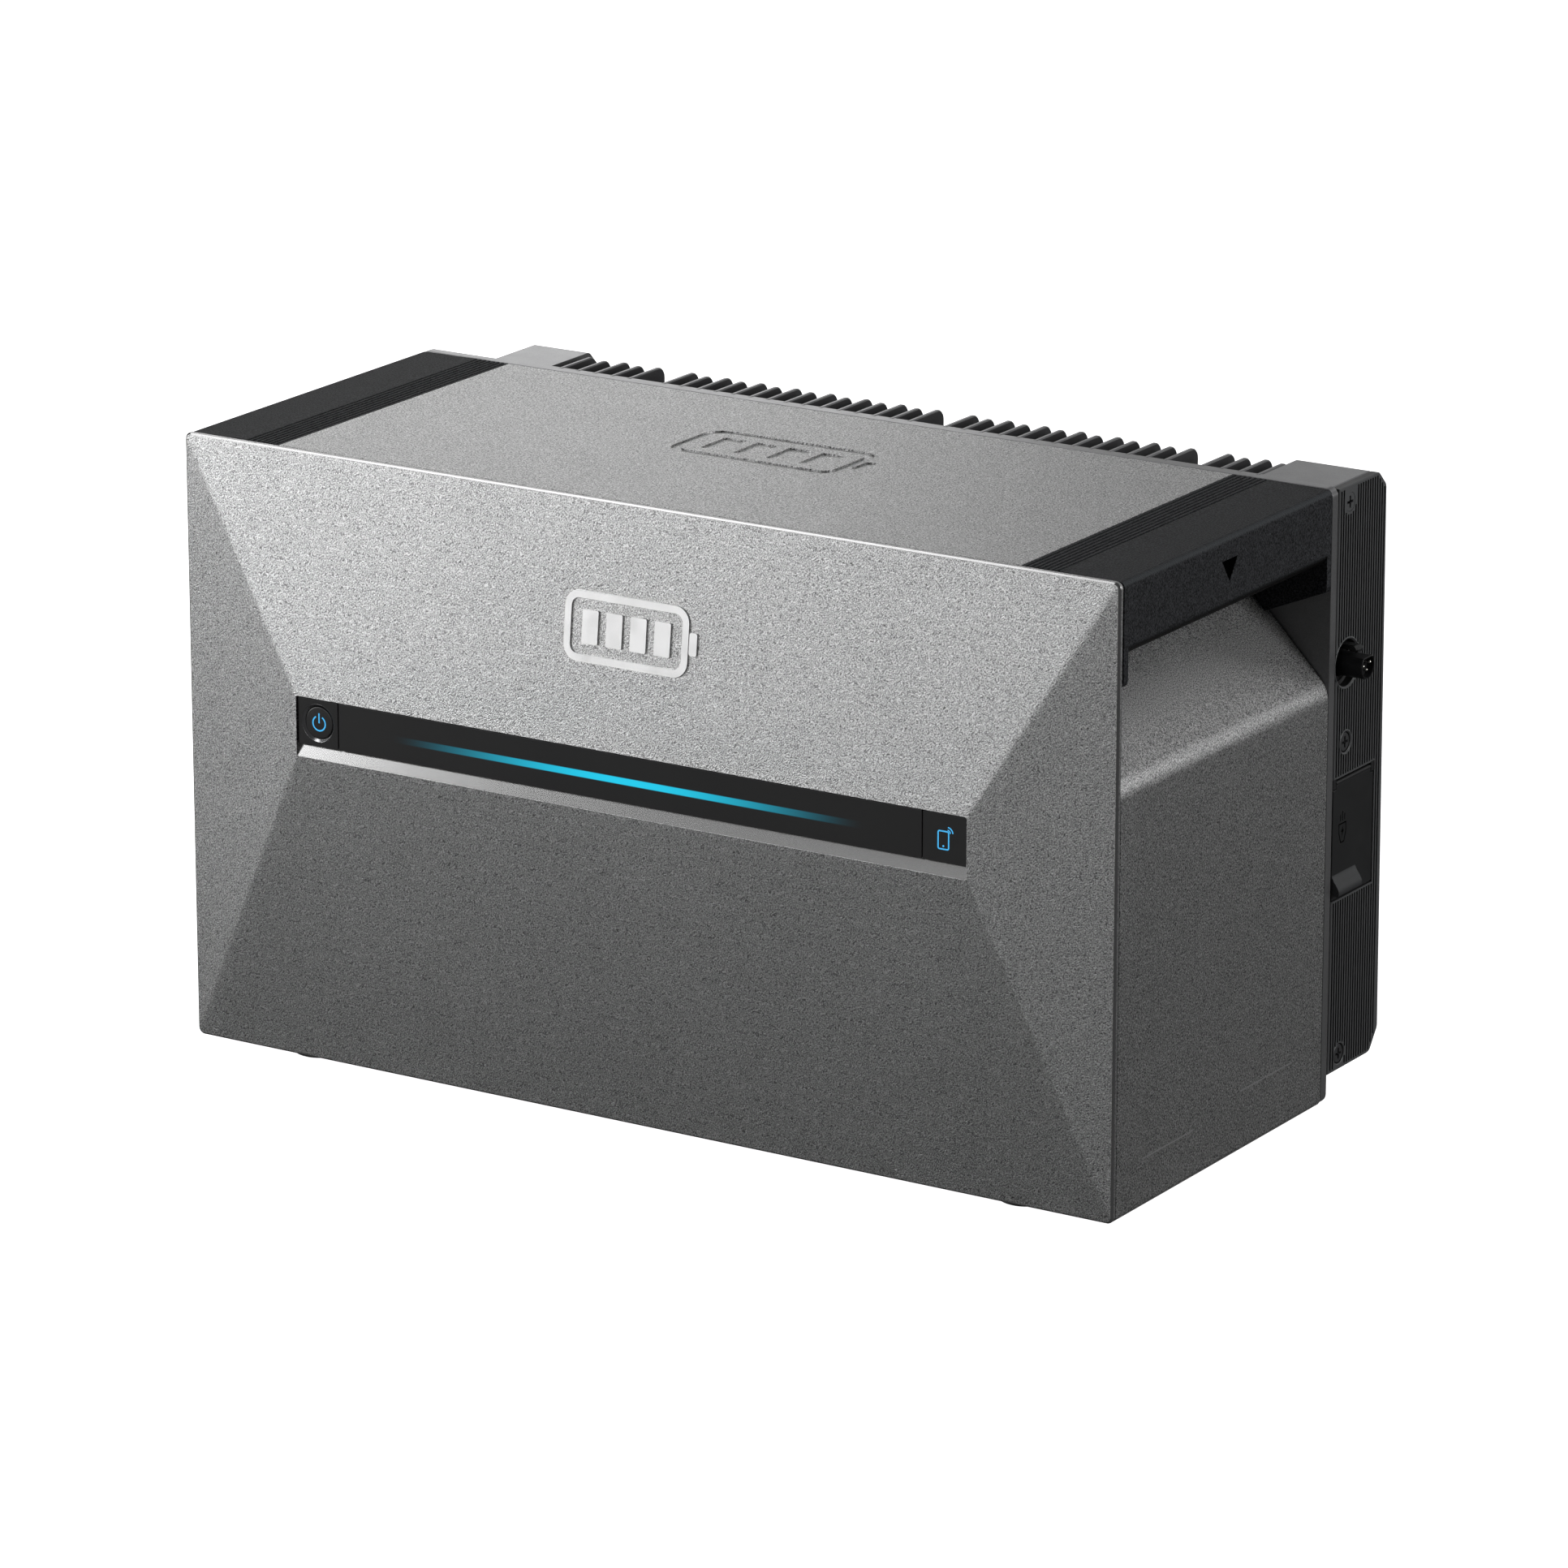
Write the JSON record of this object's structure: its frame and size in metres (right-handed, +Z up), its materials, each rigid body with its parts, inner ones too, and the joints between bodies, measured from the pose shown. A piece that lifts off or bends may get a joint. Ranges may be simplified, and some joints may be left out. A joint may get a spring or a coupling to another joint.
{
  "type": "stackable balcony battery unit",
  "caption": "Free-standing battery with a low hipped front, light strip, power button, carry handles, rear heat sink, outlet flap and grid connector.",
  "frame": {"origin": "on the floor, under the middle of the unit's overall box", "axes": "+Z up, -Y out of the front cover, +X towards the grid connector's side"},
  "size_m": [0.48, 0.237, 0.274],
  "materials": {
    "grey_shell": "metallic grey, finely grained, satin",
    "black_handle": "black, fine leathery grain",
    "bright_trim": "satin bright metal",
    "strip_black": "smoked black, semi-gloss",
    "silicone": "soft silicone",
    "diffuser": "milky light guide",
    "board_green": "green circuit board",
    "black_cover": "black, ribbed, satin",
    "steel": "zinc-plated steel",
    "black_screw": "black oxide screw",
    "rubber_black": "matt black rubber",
    "cast_metal": "dark grey powder coat on cast aluminium",
    "outlet_black": "black, smooth",
    "cell_blue": "blue insulating film over an aluminium can",
    "insulator": "cream insulating sheet",
    "copper": "enamelled copper winding"
  },
  "bodies": {
    "unit": {"main_housing": "grey_shell", "front_cover": "grey_shell", "handle_right": "black_handle", "handle_left": "black_handle", "lightbar_trim": "bright_trim", "lightbar_window": "strip_black", "power_button_frame": "strip_black", "power_button_dome": "silicone", "pairing_key_dome": "silicone", "light_guide": "diffuser", "display_board": "board_green", "display_carrier": "black_cover", "front_bulkhead": "steel", "front_gasket": "rubber_black", "rear_gasket": "rubber_black", "rear_frame": "cast_metal", "heat_sink": "cast_metal", "side_cover_right": "black_cover", "side_cover_left": "black_cover", "cover_screw_right_1": "black_screw", "cover_screw_right_2": "black_screw", "cover_screw_right_3": "black_screw", "cover_screw_left_1": "black_screw", "cover_screw_left_2": "black_screw", "cover_screw_left_3": "black_screw", "grid_connector": "black_cover", "grid_pin_1": "steel", "grid_pin_2": "steel", "grid_pin_3": "steel", "ac_flap_pin": "steel", "ac_outlet": "outlet_black", "pv_input_1": "black_handle", "pv_input_2": "black_handle", "pv_input_3": "black_handle", "pv_input_4": "black_handle", "foot_front_left": "rubber_black", "foot_front_right": "rubber_black", "foot_rear_left": "rubber_black", "foot_rear_right": "rubber_black", "cell_1": "cell_blue", "cell_2": "cell_blue", "cell_3": "cell_blue", "cell_4": "cell_blue", "cell_5": "cell_blue", "cell_6": "cell_blue", "cell_7": "cell_blue", "cell_8": "cell_blue", "module_end_plate_left": "steel", "module_end_plate_right": "steel", "busbar_cover": "insulator", "bms_board": "board_green", "inverter_board": "board_green", "transformer": "copper", "capacitor_bank": "outlet_black"},
    "power_button": {"power_button": "strip_black"},
    "pairing_key": {"pairing_key": "strip_black"},
    "ac_flap": {"ac_flap": "black_cover"},
    "connector_latch": {"grid_connector_latch": "black_cover"}
  },
  "joints": [
    {"name": "power_button_press", "type": "slide", "parent": "unit", "child": "power_button", "axis": [0, 1, 0], "range_m": [0, 0.0008], "stiffness_N_per_m": 1500, "deforming": ["power_button_dome"]},
    {"name": "pairing_key_press", "type": "slide", "parent": "unit", "child": "pairing_key", "axis": [0, 1, 0], "range_m": [0, 0.0006], "stiffness_N_per_m": 1500, "deforming": ["pairing_key_dome"]},
    {"name": "ac_flap_hinge", "type": "hinge", "parent": "unit", "child": "ac_flap", "pos_m": [0.2289, 0.0923, 0.1442], "axis": [0, -1, 0], "range_deg": [0, 95]},
    {"name": "connector_latch_hinge", "type": "hinge", "parent": "unit", "child": "connector_latch", "pos_m": [0.2262, 0.084, 0.2031], "axis": [0, -1, 0], "range_deg": [0, 8], "stiffness_Nm_per_rad": 0.02}
  ]
}
